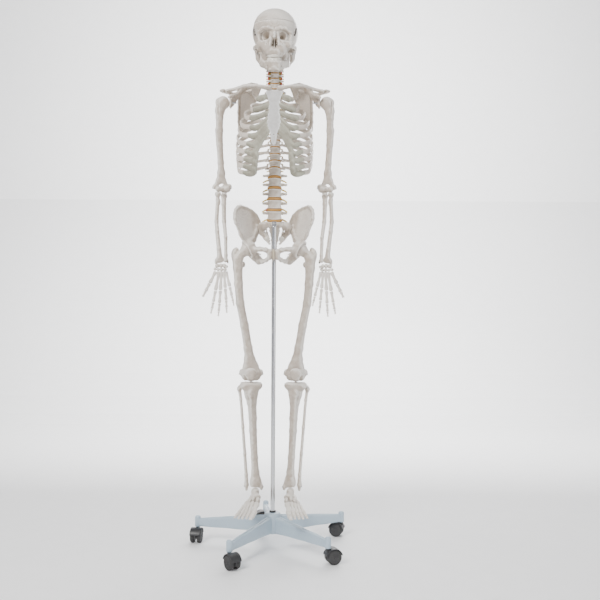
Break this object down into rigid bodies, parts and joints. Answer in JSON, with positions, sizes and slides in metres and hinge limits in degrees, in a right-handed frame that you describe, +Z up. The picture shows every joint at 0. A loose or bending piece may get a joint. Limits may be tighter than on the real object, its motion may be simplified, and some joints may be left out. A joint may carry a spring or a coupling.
{
  "type": "anatomical skeleton model on castor stand",
  "caption": "Life-size teaching skeleton hung by its pelvis on a steel pole over a wheeled star base, with nerves, discs and jointed limbs.",
  "frame": {"origin": "on the floor, under the pole's axis", "axes": "+Z up the pole, -Y the way the skeleton faces, +X the skeleton's left side"},
  "size_m": [0.5315, 0.554, 1.7994],
  "materials": {
    "bone_plastic": "matte moulded bone-coloured plastic, slightly aged",
    "sternum_plastic": "matte whiter moulded plastic",
    "base_plastic": "pale blue moulded plastic with a soft sheen",
    "castor_plastic": "black moulded plastic",
    "steel": "bright plated steel",
    "disc_rubber": "golden brown flexible pads",
    "pad_rubber": "beige flexible pad",
    "nerve_plastic": "yellow flexible stubs",
    "artery_plastic": "red flexible tube",
    "cartilage_plastic": "grey-olive matte plastic"
  },
  "bodies": {
    "stand": {"star_base": "base_plastic", "pole": "steel"},
    "castor_1": {"castor_hood_1": "castor_plastic"},
    "wheels_1": {"castor_wheels_1": "castor_plastic"},
    "castor_2": {"castor_hood_2": "castor_plastic"},
    "wheels_2": {"castor_wheels_2": "castor_plastic"},
    "castor_3": {"castor_hood_3": "castor_plastic"},
    "wheels_3": {"castor_wheels_3": "castor_plastic"},
    "castor_4": {"castor_hood_4": "castor_plastic"},
    "wheels_4": {"castor_wheels_4": "castor_plastic"},
    "castor_5": {"castor_hood_5": "castor_plastic"},
    "wheels_5": {"castor_wheels_5": "castor_plastic"},
    "torso": {"cervical_vertebrae": "bone_plastic", "thoracic_vertebrae": "bone_plastic", "lumbar_vertebrae": "bone_plastic", "intervertebral_discs": "disc_rubber", "spine_rod": "steel", "spinal_nerves": "nerve_plastic", "vertebral_arteries": "artery_plastic", "sacrum": "bone_plastic", "coccyx": "bone_plastic", "hanger_socket": "steel", "hanger_screw": "steel", "pubic_pad": "pad_rubber", "sternum": "sternum_plastic", "costal_cartilages": "cartilage_plastic", "hip_bone_left": "bone_plastic", "hip_bone_right": "bone_plastic", "ribs_left": "bone_plastic", "ribs_right": "bone_plastic", "clavicle_left": "bone_plastic", "clavicle_right": "bone_plastic", "scapula_left": "bone_plastic", "scapula_right": "bone_plastic"},
    "head": {"skull_base": "bone_plastic", "jaw_pins": "steel"},
    "jaw": {"mandible": "bone_plastic"},
    "cap": {"skull_cap": "bone_plastic"},
    "shoulder_pin_left": {"shoulder_link_left": "steel"},
    "upper_arm_left": {"humerus_left": "bone_plastic"},
    "forearm_left": {"ulna_left": "bone_plastic", "radius_left": "bone_plastic"},
    "hand_left": {"hand_bones_left": "bone_plastic"},
    "hip_pin_left": {"hip_link_left": "steel"},
    "thigh_left": {"femur_left": "bone_plastic", "patella_left": "bone_plastic"},
    "shank_left": {"tibia_left": "bone_plastic", "fibula_left": "bone_plastic"},
    "foot_left": {"foot_bones_left": "bone_plastic"},
    "shoulder_pin_right": {"shoulder_link_right": "steel"},
    "upper_arm_right": {"humerus_right": "bone_plastic"},
    "forearm_right": {"ulna_right": "bone_plastic", "radius_right": "bone_plastic"},
    "hand_right": {"hand_bones_right": "bone_plastic"},
    "hip_pin_right": {"hip_link_right": "steel"},
    "thigh_right": {"femur_right": "bone_plastic", "patella_right": "bone_plastic"},
    "shank_right": {"tibia_right": "bone_plastic", "fibula_right": "bone_plastic"},
    "foot_right": {"foot_bones_right": "bone_plastic"}
  },
  "joints": [
    {"name": "castor_swivel_1", "type": "hinge", "parent": "stand", "child": "castor_1", "pos_m": [0.23577, 0.11195, 0.05], "axis": [0, 0, 1], "continuous": true},
    {"name": "castor_roll_1", "type": "hinge", "parent": "castor_1", "child": "wheels_1", "pos_m": [0.2196, 0.11721, 0.023], "axis": [-0.309, -0.9511, 0], "continuous": true},
    {"name": "castor_swivel_2", "type": "hinge", "parent": "stand", "child": "castor_2", "pos_m": [-0.03362, 0.25883, 0.05], "axis": [0, 0, 1], "continuous": true},
    {"name": "castor_roll_2", "type": "hinge", "parent": "castor_2", "child": "wheels_2", "pos_m": [-0.05036, 0.25587, 0.023], "axis": [0.1736, -0.9848, 0], "continuous": true},
    {"name": "castor_swivel_3", "type": "hinge", "parent": "stand", "child": "castor_3", "pos_m": [-0.25655, 0.04801, 0.05], "axis": [0, 0, 1], "continuous": true},
    {"name": "castor_roll_3", "type": "hinge", "parent": "castor_3", "child": "wheels_3", "pos_m": [-0.25891, 0.03118, 0.023], "axis": [0.9903, -0.1392, 0], "continuous": true},
    {"name": "castor_swivel_4", "type": "hinge", "parent": "stand", "child": "castor_4", "pos_m": [-0.12494, -0.22915, 0.05], "axis": [0, 0, 1], "continuous": true},
    {"name": "castor_roll_4", "type": "hinge", "parent": "castor_4", "child": "wheels_4", "pos_m": [-0.11471, -0.24273, 0.023], "axis": [0.7986, 0.6018, 0], "continuous": true},
    {"name": "castor_swivel_5", "type": "hinge", "parent": "stand", "child": "castor_5", "pos_m": [0.17933, -0.18964, 0.05], "axis": [0, 0, 1], "continuous": true},
    {"name": "castor_roll_5", "type": "hinge", "parent": "castor_5", "child": "wheels_5", "pos_m": [0.19531, -0.18382, 0.023], "axis": [-0.342, 0.9397, 0], "continuous": true},
    {"name": "skeleton_turn", "type": "hinge", "parent": "stand", "child": "torso", "pos_m": [0, 0, 0.993], "axis": [0, 0, 1], "continuous": true},
    {"name": "head_turn", "type": "hinge", "parent": "torso", "child": "head", "pos_m": [0, 0.004, 1.63945], "axis": [0, 0, 1], "range_deg": [-50, 50]},
    {"name": "jaw_open", "type": "hinge", "parent": "head", "child": "jaw", "pos_m": [0, 0.006, 1.65145], "axis": [1, 0, 0], "range_deg": [0, 18], "stiffness_Nm_per_rad": 0.6},
    {"name": "skull_cap_lift", "type": "slide", "parent": "head", "child": "cap", "axis": [0, 0, 1], "range_m": [0, 0.06]},
    {"name": "shoulder_swing_left", "type": "hinge", "parent": "torso", "child": "shoulder_pin_left", "pos_m": [0.174, 0.008, 1.48582], "axis": [-1, 0, 0], "range_deg": [-25, 80]},
    {"name": "shoulder_spread_left", "type": "hinge", "parent": "shoulder_pin_left", "child": "upper_arm_left", "pos_m": [0.174, 0.008, 1.48582], "axis": [0, -1, 0], "range_deg": [0, 70]},
    {"name": "elbow_left", "type": "hinge", "parent": "upper_arm_left", "child": "forearm_left", "pos_m": [0.178, 0.008, 1.19582], "axis": [-1, 0, 0], "range_deg": [0, 100]},
    {"name": "wrist_left", "type": "hinge", "parent": "forearm_left", "child": "hand_left", "pos_m": [0.171, -0.04, 0.94183], "axis": [-1, 0, 0], "range_deg": [-30, 50]},
    {"name": "hip_swing_left", "type": "hinge", "parent": "torso", "child": "hip_pin_left", "pos_m": [0.09, 0, 0.993], "axis": [-1, 0, 0], "range_deg": [-15, 50]},
    {"name": "hip_spread_left", "type": "hinge", "parent": "hip_pin_left", "child": "thigh_left", "pos_m": [0.09, 0, 0.993], "axis": [0, -1, 0], "range_deg": [0, 18]},
    {"name": "knee_left", "type": "hinge", "parent": "thigh_left", "child": "shank_left", "pos_m": [0.075, 0.002, 0.573], "axis": [1, 0, 0], "range_deg": [0, 90]},
    {"name": "ankle_left", "type": "hinge", "parent": "shank_left", "child": "foot_left", "pos_m": [0.058, 0, 0.196], "axis": [-1, 0, 0], "range_deg": [-8, 15]},
    {"name": "shoulder_swing_right", "type": "hinge", "parent": "torso", "child": "shoulder_pin_right", "pos_m": [-0.174, 0.008, 1.48582], "axis": [-1, 0, 0], "range_deg": [-25, 80]},
    {"name": "shoulder_spread_right", "type": "hinge", "parent": "shoulder_pin_right", "child": "upper_arm_right", "pos_m": [-0.174, 0.008, 1.48582], "axis": [0, 1, 0], "range_deg": [0, 70]},
    {"name": "elbow_right", "type": "hinge", "parent": "upper_arm_right", "child": "forearm_right", "pos_m": [-0.178, 0.008, 1.19582], "axis": [-1, 0, 0], "range_deg": [0, 100]},
    {"name": "wrist_right", "type": "hinge", "parent": "forearm_right", "child": "hand_right", "pos_m": [-0.171, -0.04, 0.94183], "axis": [-1, 0, 0], "range_deg": [-30, 50]},
    {"name": "hip_swing_right", "type": "hinge", "parent": "torso", "child": "hip_pin_right", "pos_m": [-0.09, 0, 0.993], "axis": [-1, 0, 0], "range_deg": [-15, 50]},
    {"name": "hip_spread_right", "type": "hinge", "parent": "hip_pin_right", "child": "thigh_right", "pos_m": [-0.09, 0, 0.993], "axis": [0, 1, 0], "range_deg": [0, 18]},
    {"name": "knee_right", "type": "hinge", "parent": "thigh_right", "child": "shank_right", "pos_m": [-0.075, 0.002, 0.573], "axis": [1, 0, 0], "range_deg": [0, 90]},
    {"name": "ankle_right", "type": "hinge", "parent": "shank_right", "child": "foot_right", "pos_m": [-0.058, 0, 0.196], "axis": [-1, 0, 0], "range_deg": [-8, 15]}
  ]
}
